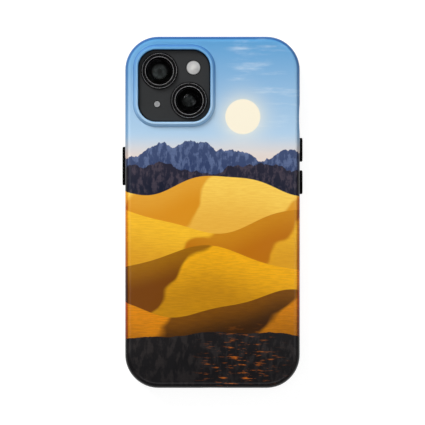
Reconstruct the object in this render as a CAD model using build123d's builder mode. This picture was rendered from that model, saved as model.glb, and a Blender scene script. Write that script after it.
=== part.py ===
"""Smartphone in a two-piece protective case, lying face down with the case's back up.

+X is to the right and +Y towards the phone's top end as the back is seen, and +Z points out of the back.
The origin is on the surface the case lies on, under the middle of its outline.
The case is a hard outer shell over a soft liner, and the liner's raised front lip carries the weight.
"""

import os
from math import sqrt
from typing import NamedTuple

from build123d import *

# Phone outline, in millimetres
PHONE_WIDTH = 71.6
PHONE_LENGTH = 147.6
PHONE_THICKNESS = 7.8
PHONE_CORNER = 12.6

# Phone enclosure
FRAME_EDGE_RADIUS = 0.8  # rounding of the metal band's long edges
FRAME_FLAT = 0.35  # flat of the band between that rounding and the glass
GLASS_LEDGE = 1.3  # ledge in the band that the back glass sits on
GLASS_PROUD = 0.15  # both panes stand this far out of the band
GLASS_EDGE_RADIUS = 0.3
DISPLAY_GLASS_THICKNESS = 0.7
DISPLAY_PANEL_THICKNESS = 0.7
DISPLAY_PANEL_MARGIN = 1.2  # glass beyond the panel on each side
MID_PLATE_THICKNESS = 0.5
BACK_GLASS_THICKNESS = 0.8

# Case walls and fits
LINER_WALL = 0.7
SHELL_WALL = 0.95
FIT_GAP = 0.05  # between pieces that are pressed or glued together
LIP_RISE = 1.0  # the lip stands this far above the screen
LIP_OVERLAP = 0.9  # the lip reaches this far over the band's front
LIP_SETBACK = 0.3  # the lip's flange is this much narrower than the shell
LIP_EDGE_RADIUS = 0.35
SHELL_FRONT_RADIUS = 0.5

# Camera plateau of the back glass
PLATEAU_SIZE = 30.3
PLATEAU_CORNER = 7.45
PLATEAU_RISE = 1.5
PLATEAU_EDGE_RADIUS = 0.3

# Window in the shell round the plateau, and the raised collar round it
CAMERA_WINDOW_GAP = 0.35  # from the plateau to the window
COLLAR_FROM_SIDE = 3.45  # collar's foot from the case's side and top end
COLLAR_FROM_TOP = 3.6
COLLAR_RISE = 1.4
COLLAR_TOP_WIDTH = 1.0
COLLAR_SLOPE_WIDTH = 1.2
COLLAR_FOOT_RADIUS = 0.6
COLLAR_CREST_RADIUS = 0.4
LINER_WINDOW_INSET = 0.15  # the liner shows this far inside the shell's window

# Lenses on the plateau's falling diagonal, flash above it and microphone below it
LENS_FROM_EDGE = 1.35  # lens rings from the plateau's sides
LENS_GAP = 3.06  # between the two rings
LENS_RING_WIDTH = 1.5
LENS_RING_RISE = 1.2
LENS_RING_CHAMFER = 0.3
LENS_COVER_THICKNESS = 0.6
LENS_SEAT_THICKNESS = 0.4
LENS_SEAT_WIDTH = 0.65
MODULE_SETBACK = 0.1  # the camera module is this much narrower than the lens cover
BARREL_WALL = 0.6
BARREL_DEPTH = 1.8
UPPER_ELEMENT_RADIUS = 3.4
UPPER_ELEMENT_RISE = 0.7
LOWER_ELEMENT_RADIUS = 2.9
LOWER_ELEMENT_RISE = 0.9
LENS_ELEMENT_GAP = 0.1
FLASH_FROM_SIDE = 6.95  # flash centre from the plateau's right side and top
FLASH_FROM_TOP = 7.35
FLASH_RADIUS = 2.95
FLASH_EDGE_RADIUS = 0.15
MICROPHONE_FROM_SIDE = 7.8  # microphone centre from the plateau's left side and bottom
MICROPHONE_FROM_BOTTOM = 7.3
MICROPHONE_RADIUS = 1.2
MICROPHONE_HOLE_RADIUS = 0.35
MICROPHONE_HOLE_DEPTH = 0.6

# Keys on the long sides: the phone's metal button and the pad that covers it
PAD_HEIGHT = 3.6
PAD_PROUD = 1.28  # beyond the shell's side
PAD_EDGE_RADIUS = 0.45
PAD_CLEARANCE = 0.2
FLANGE_WIDTH = 0.8  # wider than the pad all round, which keeps it behind the shell
KEY_TRAVEL = 0.3
KEY_CLEARANCE = 0.15
BUTTON_HEIGHT = 2.6
BUTTON_PRESSED_PROUD = 0.05  # what stands out of the band when the key is pressed
BUTTON_DEPTH = 1.0
BUTTON_SHORTER = 1.6  # the button is this much shorter than its pad
SIDE_KEY_FROM_TOP = 53.8  # key middles from the phone's top end
SIDE_PAD_LENGTH = 16.65
VOLUME_UP_FROM_TOP = 46.8
VOLUME_PITCH = 14.0  # between the two volume keys
VOLUME_PAD_LENGTH = 10.3

# Ring switch, in its own opening through the case
SWITCH_FROM_TOP = 33.4
SWITCH_OPENING_LENGTH = 12.1
SWITCH_OPENING_HEIGHT = 6.0
SWITCH_SCOOP_DEPTH = 0.35  # hollow of the shell's side round the opening
SWITCH_SCOOP_LENGTH = 14.0
SWITCH_LENGTH = 5.4
SWITCH_HEIGHT = 1.6
SWITCH_DEPTH = 0.9
SWITCH_PROUD = 0.1
SWITCH_TRAVEL = 1.4
SWITCH_CORNER = 0.3

# Charging port, at the bottom end
PORT_WIDTH = 8.34
PORT_HEIGHT = 2.56
PORT_DEPTH = 6.6
PORT_WALL = 0.3
TONGUE_WIDTH = 6.69
TONGUE_HEIGHT = 0.7
TONGUE_LENGTH = 5.4
PORT_OPENING_LENGTH = 13.0
PORT_OPENING_HEIGHT = 6.6
PORT_SCOOP_DEPTH = 0.16
PORT_SCOOP_LENGTH = 14.0

# Speaker holes on either side of the port, as many as fit between its opening and the corner
SPEAKER_HOLE_RADIUS = 0.75
SPEAKER_PITCH = 2.3
SPEAKER_SIDE_MARGIN = 1.9  # least wall between the speakers' opening and the port's, or the corner
SPEAKER_OPENING_HEIGHT = 3.2
SPEAKER_OPENING_MARGIN = 1.0
SPEAKER_MESH_THICKNESS = 0.3

# Front camera and earpiece, at the top end of the screen
FRONT_CAMERA_RADIUS = 1.8
FRONT_CAMERA_FROM_TOP = 8.0
EARPIECE_LENGTH = 9.0
EARPIECE_HEIGHT = 0.8
EARPIECE_FROM_EDGE = 1.3
EARPIECE_THICKNESS = 0.4

# Battery, the one heavy mass inside, which fills the length that the port and the cameras leave
BATTERY_WIDTH = 40.0
BATTERY_AIR = 0.2  # room between it and the back glass
BATTERY_FROM_BOTTOM = 17.0
BATTERY_TO_CAMERA = 8.65

# Levels, from the surface the case lies on up to the camera collar
SCREEN_Z = LIP_RISE
PHONE_BACK_Z = SCREEN_Z + PHONE_THICKNESS
FRAME_FRONT_Z = SCREEN_Z + GLASS_PROUD
FRAME_BACK_Z = PHONE_BACK_Z - GLASS_PROUD
PANEL_FRONT_Z = SCREEN_Z + DISPLAY_GLASS_THICKNESS
PLATE_FRONT_Z = PANEL_FRONT_Z + DISPLAY_PANEL_THICKNESS
PLATE_BACK_Z = PLATE_FRONT_Z + MID_PLATE_THICKNESS
BACK_GLASS_Z = PHONE_BACK_Z - BACK_GLASS_THICKNESS
PLATEAU_Z = PHONE_BACK_Z + PLATEAU_RISE
LINER_FLANGE_Z = FRAME_FRONT_Z - FIT_GAP
LINER_BACK_Z = PHONE_BACK_Z + FIT_GAP + LINER_WALL
SHELL_FRONT_Z = LINER_FLANGE_Z + FIT_GAP
SHELL_INNER_Z = LINER_BACK_Z + FIT_GAP
CASE_BACK_Z = SHELL_INNER_Z + SHELL_WALL
KEY_Z = SCREEN_Z + PHONE_THICKNESS / 2

# Offsets outwards from the phone's outline
LINER_INNER = FIT_GAP
LINER_OUTER = LINER_INNER + LINER_WALL
SHELL_INNER = LINER_OUTER + FIT_GAP
SHELL_OUTER = SHELL_INNER + SHELL_WALL
GLASS_OUTER = -(FRAME_EDGE_RADIUS + FRAME_FLAT)  # the panes lie inside the outline
CAVITY_OUTER = GLASS_OUTER - GLASS_LEDGE

# Places
HALF_WIDTH = PHONE_WIDTH / 2
TOP_Y = PHONE_LENGTH / 2
BOTTOM_Y = -PHONE_LENGTH / 2
SWITCH_Y = TOP_Y - SWITCH_FROM_TOP
FRONT_CAMERA_Y = TOP_Y - FRONT_CAMERA_FROM_TOP
EARPIECE_Y = TOP_Y + GLASS_OUTER - EARPIECE_FROM_EDGE
BUTTON_PROUD = KEY_TRAVEL + BUTTON_PRESSED_PROUD
OUTSIDE = SHELL_OUTER + PAD_PROUD  # past everything on the sides
LEFT, RIGHT = -1, 1

# Camera layout: the window and collar follow the plateau, and the rings fill its diagonal
CAMERA_WINDOW = PLATEAU_SIZE + 2 * CAMERA_WINDOW_GAP
CAMERA_WINDOW_CORNER = PLATEAU_CORNER + CAMERA_WINDOW_GAP
COLLAR_TOP = CAMERA_WINDOW + 2 * COLLAR_TOP_WIDTH
COLLAR_TOP_CORNER = CAMERA_WINDOW_CORNER + COLLAR_TOP_WIDTH
COLLAR_FOOT = COLLAR_TOP + 2 * COLLAR_SLOPE_WIDTH
COLLAR_FOOT_CORNER = COLLAR_TOP_CORNER + COLLAR_SLOPE_WIDTH
CAMERA_X = COLLAR_FROM_SIDE + COLLAR_FOOT / 2 - HALF_WIDTH - SHELL_OUTER
CAMERA_Y = TOP_Y + SHELL_OUTER - COLLAR_FROM_TOP - COLLAR_FOOT / 2
LENS_REACH = PLATEAU_SIZE / 2 - LENS_FROM_EDGE
LENS_RING_RADIUS = (LENS_REACH - LENS_GAP / sqrt(8)) / (1 + sqrt(1 / 2))
LENS_OFFSET = LENS_REACH - LENS_RING_RADIUS
LENS_COVER_RADIUS = LENS_RING_RADIUS - LENS_RING_WIDTH - FIT_GAP
CAMERA_MODULE_RADIUS = LENS_COVER_RADIUS - MODULE_SETBACK
BARREL_MOUTH_RADIUS = CAMERA_MODULE_RADIUS - BARREL_WALL


class Key(NamedTuple):
    """A press key: its name, the side it is on, its distance from the phone's top and its pad's length."""

    name: str
    side: int
    from_top: float
    pad_length: float


KEYS = [
    Key("side", LEFT, SIDE_KEY_FROM_TOP, SIDE_PAD_LENGTH),
    Key("volume_up", RIGHT, VOLUME_UP_FROM_TOP, VOLUME_PAD_LENGTH),
    Key("volume_down", RIGHT, VOLUME_UP_FROM_TOP + VOLUME_PITCH, VOLUME_PAD_LENGTH),
]


class Lens(NamedTuple):
    """A rear camera: its name, its end of the diagonal and its front element's radius and rise."""

    name: str
    diagonal: int
    element_radius: float
    element_rise: float


LENSES = [
    Lens("upper", -1, UPPER_ELEMENT_RADIUS, UPPER_ELEMENT_RISE),
    Lens("lower", 1, LOWER_ELEMENT_RADIUS, LOWER_ELEMENT_RISE),
]


def lens_place(lens):
    """Middle of a lens, on the plateau's falling diagonal."""
    shift = lens.diagonal * LENS_OFFSET
    return CAMERA_X + shift, CAMERA_Y - shift


def slab(outset, low, high, low_radius=0.0, high_radius=0.0):
    """Slab between two levels that follows the phone's outline at an offset, with its rims rounded."""
    with BuildPart(mode=Mode.PRIVATE) as body:
        with BuildSketch(Plane.XY.offset(low)):
            RectangleRounded(
                PHONE_WIDTH + 2 * outset,
                PHONE_LENGTH + 2 * outset,
                PHONE_CORNER + outset,
            )
        extrude(amount=high - low)
        if high_radius:
            fillet(body.faces().sort_by(Axis.Z)[-1].edges(), high_radius)
        if low_radius:
            fillet(body.faces().sort_by(Axis.Z)[0].edges(), low_radius)
    return body.part


def camera_prism(size, corner, low, high, top_radius=0.0):
    """Rounded square prism between two levels, centred on the camera."""
    with BuildPart(mode=Mode.PRIVATE) as body:
        with BuildSketch(Plane((CAMERA_X, CAMERA_Y, low))):
            RectangleRounded(size, size, corner)
        extrude(amount=high - low)
        if top_radius:
            fillet(body.faces().sort_by(Axis.Z)[-1].edges(), top_radius)
    return body.part


def disc(x, y, radius, low, high, top_radius=0.0):
    """Round disc between two levels."""
    with BuildPart(mode=Mode.PRIVATE) as body:
        with BuildSketch(Plane((x, y, low))):
            Circle(radius)
        extrude(amount=high - low)
        if top_radius:
            fillet(body.faces().sort_by(Axis.Z)[-1].edges(), top_radius)
    return body.part


def side_slot(side, y, length, height, inner, outer, edge_radius=0.0):
    """Round-ended bar across a long side, between two offsets from the phone's outline."""
    with BuildPart(mode=Mode.PRIVATE) as body:
        with BuildSketch(Plane.YZ.offset(side * (HALF_WIDTH + inner))):
            with Locations((y, KEY_Z)):
                SlotOverall(length, height)
        extrude(amount=side * (outer - inner))
        if edge_radius:
            outermost = body.faces().sort_by(Axis.X)[-1 if side == RIGHT else 0]
            fillet(outermost.edges(), edge_radius)
    return body.part


def side_block(side, y, z, length, height, corner, inner, outer):
    """Rounded block across a long side, between two offsets from the phone's outline."""
    with BuildPart(mode=Mode.PRIVATE) as body:
        with BuildSketch(Plane.YZ.offset(side * (HALF_WIDTH + inner))):
            with Locations((y, z)):
                RectangleRounded(length, height, corner)
        extrude(amount=side * (outer - inner))
    return body.part


def end_slot(x, length, height, inner, outer):
    """Round-ended bar across the bottom end, between two offsets from the phone's outline."""
    with BuildPart(mode=Mode.PRIVATE) as body:
        with BuildSketch(Plane.XZ.offset(PHONE_LENGTH / 2 + inner)):
            with Locations((x, KEY_Z)):
                SlotOverall(length, height)
        extrude(amount=outer - inner)
    return body.part


def scoop(face, length, depth):
    """Shallow hollow up the whole side of the case, from a plane whose y axis points into the wall."""
    with BuildPart(mode=Mode.PRIVATE) as body:
        with BuildSketch(face):
            with BuildLine():
                SagittaArc((-length / 2, 0), (length / 2, 0), depth)
                Polyline(
                    (-length / 2, 0), (-length / 2, -depth), (length / 2, -depth), (length / 2, 0)
                )
            make_face()
        extrude(amount=CASE_BACK_Z, both=True)
    return body.part


def save(part, name):
    """Labels a finished piece and writes it under its own name."""
    part.label = name
    export_step(part, f"parts/{name}.step")


os.makedirs("parts", exist_ok=True)

# Openings through the case's bottom end and right side, with the hollows round them
corner_start_x = HALF_WIDTH - PHONE_CORNER
speaker_room = corner_start_x - PORT_OPENING_LENGTH / 2
speaker_ends = 2 * (SPEAKER_SIDE_MARGIN + SPEAKER_OPENING_MARGIN + SPEAKER_HOLE_RADIUS)
speaker_holes = 1 + int((speaker_room - speaker_ends) / SPEAKER_PITCH)
speaker_row = (speaker_holes - 1) * SPEAKER_PITCH + 2 * SPEAKER_HOLE_RADIUS
speaker_opening_length = speaker_row + 2 * SPEAKER_OPENING_MARGIN
speaker_x = corner_start_x - speaker_room / 2
end_openings = [end_slot(0, PORT_OPENING_LENGTH, PORT_OPENING_HEIGHT, 0, OUTSIDE)]
for end in (LEFT, RIGHT):
    end_openings.append(
        end_slot(end * speaker_x, speaker_opening_length, SPEAKER_OPENING_HEIGHT, 0, OUTSIDE)
    )
switch_opening = side_slot(
    RIGHT, SWITCH_Y, SWITCH_OPENING_LENGTH, SWITCH_OPENING_HEIGHT, 0, OUTSIDE
)
switch_face = Plane((HALF_WIDTH + SHELL_OUTER, SWITCH_Y, 0), x_dir=(0, 1, 0), z_dir=(0, 0, 1))
switch_scoop = scoop(switch_face, SWITCH_SCOOP_LENGTH, SWITCH_SCOOP_DEPTH)
port_face = Plane((0, BOTTOM_Y - SHELL_OUTER, 0), x_dir=(1, 0, 0), z_dir=(0, 0, 1))
port_scoop = scoop(port_face, PORT_SCOOP_LENGTH, PORT_SCOOP_DEPTH)

# Hard outer shell: a tray with a raised collar round the camera window
collar_top_z = CASE_BACK_Z + COLLAR_RISE
back_edge_radius = FRAME_EDGE_RADIUS + SHELL_OUTER
with BuildPart() as case_shell:
    add(slab(SHELL_OUTER, SHELL_FRONT_Z, CASE_BACK_Z, SHELL_FRONT_RADIUS, back_edge_radius))
    with BuildSketch(Plane((CAMERA_X, CAMERA_Y, CASE_BACK_Z))):
        RectangleRounded(COLLAR_FOOT, COLLAR_FOOT, COLLAR_FOOT_CORNER)
    with BuildSketch(Plane((CAMERA_X, CAMERA_Y, collar_top_z))):
        RectangleRounded(COLLAR_TOP, COLLAR_TOP, COLLAR_TOP_CORNER)
    loft(ruled=True)
    fillet(case_shell.faces().sort_by(Axis.Z)[-1].edges(), COLLAR_CREST_RADIUS)
    back_face = case_shell.faces().filter_by_position(
        Axis.Z, CASE_BACK_Z - FIT_GAP, CASE_BACK_Z + FIT_GAP
    )[0]
    fillet(back_face.inner_wires().edges(), COLLAR_FOOT_RADIUS)
    add(
        slab(
            SHELL_INNER,
            SHELL_FRONT_Z,
            SHELL_INNER_Z,
            high_radius=FRAME_EDGE_RADIUS + SHELL_INNER,
        ),
        mode=Mode.SUBTRACT,
    )
    add(
        camera_prism(CAMERA_WINDOW, CAMERA_WINDOW_CORNER, SHELL_INNER_Z, collar_top_z),
        mode=Mode.SUBTRACT,
    )
    collar_face = case_shell.faces().filter_by(Axis.Z).sort_by(Axis.Z)[-1]
    fillet(collar_face.inner_wires().edges(), COLLAR_CREST_RADIUS)
    for key in KEYS:
        add(
            side_slot(
                key.side,
                TOP_Y - key.from_top,
                key.pad_length + 2 * PAD_CLEARANCE,
                PAD_HEIGHT + 2 * PAD_CLEARANCE,
                0,
                OUTSIDE,
            ),
            mode=Mode.SUBTRACT,
        )
    for opening in (switch_opening, switch_scoop, port_scoop, *end_openings):
        add(opening, mode=Mode.SUBTRACT)
save(case_shell.part, "case_shell")

# Soft liner: lines the shell and carries the flanged front lip
liner_window = CAMERA_WINDOW - 2 * LINER_WINDOW_INSET
with BuildPart() as case_liner:
    add(slab(SHELL_OUTER - LIP_SETBACK, 0, LINER_FLANGE_Z, LIP_EDGE_RADIUS))
    add(slab(LINER_OUTER, 0, LINER_BACK_Z, high_radius=FRAME_EDGE_RADIUS + LINER_OUTER))
    add(
        slab(
            LINER_INNER,
            LINER_FLANGE_Z,
            PHONE_BACK_Z + FIT_GAP,
            high_radius=FRAME_EDGE_RADIUS + LINER_INNER,
        ),
        mode=Mode.SUBTRACT,
    )
    add(slab(-LIP_OVERLAP, 0, LINER_FLANGE_Z), mode=Mode.SUBTRACT)
    lip_face = case_liner.faces().sort_by(Axis.Z)[0]
    fillet(lip_face.inner_wires().edges(), LIP_EDGE_RADIUS)
    add(
        camera_prism(
            liner_window,
            CAMERA_WINDOW_CORNER - LINER_WINDOW_INSET,
            PHONE_BACK_Z,
            LINER_BACK_Z,
        ),
        mode=Mode.SUBTRACT,
    )
    for key in KEYS:
        add(
            side_slot(
                key.side,
                TOP_Y - key.from_top,
                key.pad_length + 2 * (FLANGE_WIDTH + PAD_CLEARANCE),
                PAD_HEIGHT + 2 * (FLANGE_WIDTH + PAD_CLEARANCE),
                0,
                SHELL_INNER,
            ),
            mode=Mode.SUBTRACT,
        )
    for opening in (switch_opening, *end_openings):
        add(opening, mode=Mode.SUBTRACT)
save(case_liner.part, "case_liner")

# Key pads: a pad through the shell's slot on a flange that stays behind it
for key in KEYS:
    key_y = TOP_Y - key.from_top
    with BuildPart() as key_pad:
        add(
            side_slot(
                key.side,
                key_y,
                key.pad_length + 2 * FLANGE_WIDTH,
                PAD_HEIGHT + 2 * FLANGE_WIDTH,
                BUTTON_PROUD + FIT_GAP,
                LINER_OUTER,
            )
        )
        add(
            side_slot(
                key.side,
                key_y,
                key.pad_length,
                PAD_HEIGHT,
                BUTTON_PROUD + FIT_GAP,
                OUTSIDE,
                PAD_EDGE_RADIUS,
            )
        )
    save(key_pad.part, f"{key.name}_pad")

# Metal buttons of the phone, each under its pad
for key in KEYS:
    with BuildPart() as key_button:
        add(
            side_slot(
                key.side,
                TOP_Y - key.from_top,
                key.pad_length - BUTTON_SHORTER,
                BUTTON_HEIGHT,
                -BUTTON_DEPTH,
                BUTTON_PROUD,
            )
        )
    save(key_button.part, f"{key.name}_button")

# Ring switch, a lever that slides across the phone's thickness
switch_rest_z = KEY_Z - SWITCH_TRAVEL / 2
switch_pocket_height = SWITCH_HEIGHT + SWITCH_TRAVEL + 2 * KEY_CLEARANCE
with BuildPart() as ring_switch:
    add(
        side_block(
            RIGHT,
            SWITCH_Y,
            switch_rest_z,
            SWITCH_LENGTH,
            SWITCH_HEIGHT,
            SWITCH_CORNER,
            -SWITCH_DEPTH,
            SWITCH_PROUD,
        )
    )
save(ring_switch.part, "ring_switch")

# Metal frame: the band and the plate across its middle, milled from one piece
port_outer_width = PORT_WIDTH + 2 * PORT_WALL
port_outer_height = PORT_HEIGHT + 2 * PORT_WALL
band_wall = -CAVITY_OUTER
with BuildPart() as phone_frame:
    add(slab(0, FRAME_FRONT_Z, FRAME_BACK_Z, FRAME_EDGE_RADIUS, FRAME_EDGE_RADIUS))
    add(slab(GLASS_OUTER + FIT_GAP, FRAME_FRONT_Z, PLATE_FRONT_Z), mode=Mode.SUBTRACT)
    add(slab(GLASS_OUTER + FIT_GAP, BACK_GLASS_Z, FRAME_BACK_Z), mode=Mode.SUBTRACT)
    add(slab(CAVITY_OUTER, PLATE_BACK_Z, BACK_GLASS_Z), mode=Mode.SUBTRACT)
    for key in KEYS:
        add(
            side_slot(
                key.side,
                TOP_Y - key.from_top,
                key.pad_length - BUTTON_SHORTER + 2 * KEY_CLEARANCE,
                BUTTON_HEIGHT + 2 * KEY_CLEARANCE,
                -(BUTTON_DEPTH + KEY_TRAVEL + KEY_CLEARANCE),
                SHELL_OUTER,
            ),
            mode=Mode.SUBTRACT,
        )
    add(
        side_block(
            RIGHT,
            SWITCH_Y,
            KEY_Z,
            SWITCH_LENGTH + 2 * KEY_CLEARANCE,
            switch_pocket_height,
            SWITCH_CORNER + KEY_CLEARANCE,
            -(SWITCH_DEPTH + KEY_CLEARANCE),
            SHELL_OUTER,
        ),
        mode=Mode.SUBTRACT,
    )
    add(
        end_slot(
            0,
            port_outer_width + 2 * FIT_GAP,
            port_outer_height + 2 * FIT_GAP,
            -band_wall,
            SHELL_OUTER,
        ),
        mode=Mode.SUBTRACT,
    )
    with BuildSketch(Plane.XZ.offset(PHONE_LENGTH / 2)):
        with Locations((-speaker_x, KEY_Z), (speaker_x, KEY_Z)):
            with GridLocations(SPEAKER_PITCH, 0, speaker_holes, 1):
                Circle(SPEAKER_HOLE_RADIUS)
    extrude(amount=-band_wall, mode=Mode.SUBTRACT)
save(phone_frame.part, "phone_frame")

# Back glass with its camera plateau, and the holes for what looks out through it
module_hole_radius = CAMERA_MODULE_RADIUS + FIT_GAP
flash_x = CAMERA_X + PLATEAU_SIZE / 2 - FLASH_FROM_SIDE
flash_y = CAMERA_Y + PLATEAU_SIZE / 2 - FLASH_FROM_TOP
microphone_x = CAMERA_X - PLATEAU_SIZE / 2 + MICROPHONE_FROM_SIDE
microphone_y = CAMERA_Y - PLATEAU_SIZE / 2 + MICROPHONE_FROM_BOTTOM
with BuildPart() as back_glass:
    add(slab(GLASS_OUTER, BACK_GLASS_Z, PHONE_BACK_Z, high_radius=GLASS_EDGE_RADIUS))
    add(camera_prism(PLATEAU_SIZE, PLATEAU_CORNER, BACK_GLASS_Z, PLATEAU_Z, PLATEAU_EDGE_RADIUS))
    for lens in LENSES:
        x, y = lens_place(lens)
        add(disc(x, y, module_hole_radius, BACK_GLASS_Z, PLATEAU_Z), mode=Mode.SUBTRACT)
    add(
        disc(flash_x, flash_y, FLASH_RADIUS + FIT_GAP, BACK_GLASS_Z, PLATEAU_Z),
        mode=Mode.SUBTRACT,
    )
    add(
        disc(microphone_x, microphone_y, MICROPHONE_RADIUS + FIT_GAP, BACK_GLASS_Z, PLATEAU_Z),
        mode=Mode.SUBTRACT,
    )
save(back_glass.part, "back_glass")

# Flash window and rear microphone, let into the plateau
with BuildPart() as flash_window:
    add(disc(flash_x, flash_y, FLASH_RADIUS, BACK_GLASS_Z, PLATEAU_Z, FLASH_EDGE_RADIUS))
save(flash_window.part, "flash_window")
with BuildPart() as rear_microphone:
    add(disc(microphone_x, microphone_y, MICROPHONE_RADIUS, BACK_GLASS_Z, PLATEAU_Z))
    add(
        disc(
            microphone_x,
            microphone_y,
            MICROPHONE_HOLE_RADIUS,
            PLATEAU_Z - MICROPHONE_HOLE_DEPTH,
            PLATEAU_Z,
        ),
        mode=Mode.SUBTRACT,
    )
save(rear_microphone.part, "rear_microphone")

# Rear cameras: module, front element, ring and cover glass, from the inside out
module_top_z = PLATEAU_Z - FIT_GAP
barrel_floor_z = module_top_z - BARREL_DEPTH
seat_z = PLATEAU_Z + LENS_SEAT_THICKNESS
ring_top_z = PLATEAU_Z + LENS_RING_RISE
for lens in LENSES:
    x, y = lens_place(lens)
    barrel_floor_radius = lens.element_radius + LENS_ELEMENT_GAP
    with BuildPart() as camera_module:
        add(disc(x, y, CAMERA_MODULE_RADIUS, PLATE_BACK_Z, module_top_z))
        with BuildSketch(Plane((x, y, barrel_floor_z))):
            Circle(barrel_floor_radius)
        with BuildSketch(Plane((x, y, module_top_z))):
            Circle(BARREL_MOUTH_RADIUS)
        loft(mode=Mode.SUBTRACT)
    save(camera_module.part, f"camera_module_{lens.name}")

    with BuildPart() as lens_element:
        with BuildSketch(Plane((x, y, barrel_floor_z), x_dir=(1, 0, 0), z_dir=(0, -1, 0))):
            with BuildLine():
                rim = (lens.element_radius, 0)
                crown = (0, lens.element_rise)
                Polyline(rim, (0, 0), crown)
                TangentArc(crown, rim, tangent=(1, 0))
            make_face()
        revolve(axis=Axis((x, y, 0), (0, 0, 1)))
    save(lens_element.part, f"lens_element_{lens.name}")

    with BuildPart() as lens_ring:
        add(disc(x, y, LENS_RING_RADIUS, PLATEAU_Z, ring_top_z))
        add(disc(x, y, LENS_COVER_RADIUS + FIT_GAP, seat_z, ring_top_z), mode=Mode.SUBTRACT)
        add(
            disc(x, y, LENS_COVER_RADIUS - LENS_SEAT_WIDTH, PLATEAU_Z, seat_z),
            mode=Mode.SUBTRACT,
        )
        chamfer(lens_ring.faces().sort_by(Axis.Z)[-1].edges(), LENS_RING_CHAMFER)
    save(lens_ring.part, f"lens_ring_{lens.name}")

    with BuildPart() as lens_cover:
        add(disc(x, y, LENS_COVER_RADIUS, seat_z, seat_z + LENS_COVER_THICKNESS))
    save(lens_cover.part, f"lens_cover_{lens.name}")

# Battery, on the frame's plate
battery_low_y = BOTTOM_Y + BATTERY_FROM_BOTTOM
battery_high_y = CAMERA_Y - LENS_OFFSET - CAMERA_MODULE_RADIUS - BATTERY_TO_CAMERA
with BuildPart() as battery:
    with BuildSketch(Plane((0, (battery_low_y + battery_high_y) / 2, PLATE_BACK_Z))):
        Rectangle(BATTERY_WIDTH, battery_high_y - battery_low_y)
    extrude(amount=BACK_GLASS_Z - BATTERY_AIR - PLATE_BACK_Z)
save(battery.part, "battery")

# Screen: cover glass and the display panel behind it
with BuildPart() as display_glass:
    add(slab(GLASS_OUTER, SCREEN_Z, PANEL_FRONT_Z, low_radius=GLASS_EDGE_RADIUS))
    with BuildSketch(Plane((0, EARPIECE_Y, SCREEN_Z))):
        SlotOverall(EARPIECE_LENGTH + 2 * FIT_GAP, EARPIECE_HEIGHT + 2 * FIT_GAP)
    extrude(amount=DISPLAY_GLASS_THICKNESS, mode=Mode.SUBTRACT)
save(display_glass.part, "display_glass")
with BuildPart() as earpiece_mesh:
    with BuildSketch(Plane((0, EARPIECE_Y, PANEL_FRONT_Z))):
        SlotOverall(EARPIECE_LENGTH, EARPIECE_HEIGHT)
    extrude(amount=-EARPIECE_THICKNESS)
save(earpiece_mesh.part, "earpiece_mesh")
with BuildPart() as display_panel:
    add(slab(GLASS_OUTER - DISPLAY_PANEL_MARGIN, PANEL_FRONT_Z, PLATE_FRONT_Z))
    add(
        disc(0, FRONT_CAMERA_Y, FRONT_CAMERA_RADIUS + FIT_GAP, PANEL_FRONT_Z, PLATE_FRONT_Z),
        mode=Mode.SUBTRACT,
    )
save(display_panel.part, "display_panel")
with BuildPart() as front_camera:
    add(disc(0, FRONT_CAMERA_Y, FRONT_CAMERA_RADIUS, PANEL_FRONT_Z, PLATE_FRONT_Z))
save(front_camera.part, "front_camera")

# Charging port: a closed sleeve in the band, with its contact tongue
sleeve_length = PORT_DEPTH + PORT_WALL
with BuildPart() as port_sleeve:
    add(end_slot(0, port_outer_width, port_outer_height, -sleeve_length, 0))
    add(end_slot(0, PORT_WIDTH, PORT_HEIGHT, -PORT_DEPTH, 0), mode=Mode.SUBTRACT)
save(port_sleeve.part, "port_sleeve")
with BuildPart() as port_tongue:
    with BuildSketch(Plane.XZ.offset(PHONE_LENGTH / 2 - PORT_DEPTH)):
        with Locations((0, KEY_Z)):
            Rectangle(TONGUE_WIDTH, TONGUE_HEIGHT)
    extrude(amount=TONGUE_LENGTH)
save(port_tongue.part, "port_tongue")

# Speaker meshes, behind the holes in the band
with BuildPart() as speaker_meshes:
    with BuildSketch(Plane.XZ.offset(PHONE_LENGTH / 2 - band_wall)):
        with Locations((-speaker_x, KEY_Z), (speaker_x, KEY_Z)):
            SlotOverall(speaker_opening_length, SPEAKER_OPENING_HEIGHT)
    extrude(amount=-SPEAKER_MESH_THICKNESS)
save(speaker_meshes.part, "speaker_meshes")
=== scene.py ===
"""Looks of a smartphone in a printed two-piece case, laid out as an add-on.

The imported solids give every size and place, in metres.  The shell, liner and metalwork keep their solids
and get detailed finishes.  The fine turned pieces (lens trims, barrels, front elements, flash, microphone
and front camera), the microphone's mesh, the port's contacts and the screen's border are modelled here.
"""

import math
from typing import NamedTuple

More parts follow.
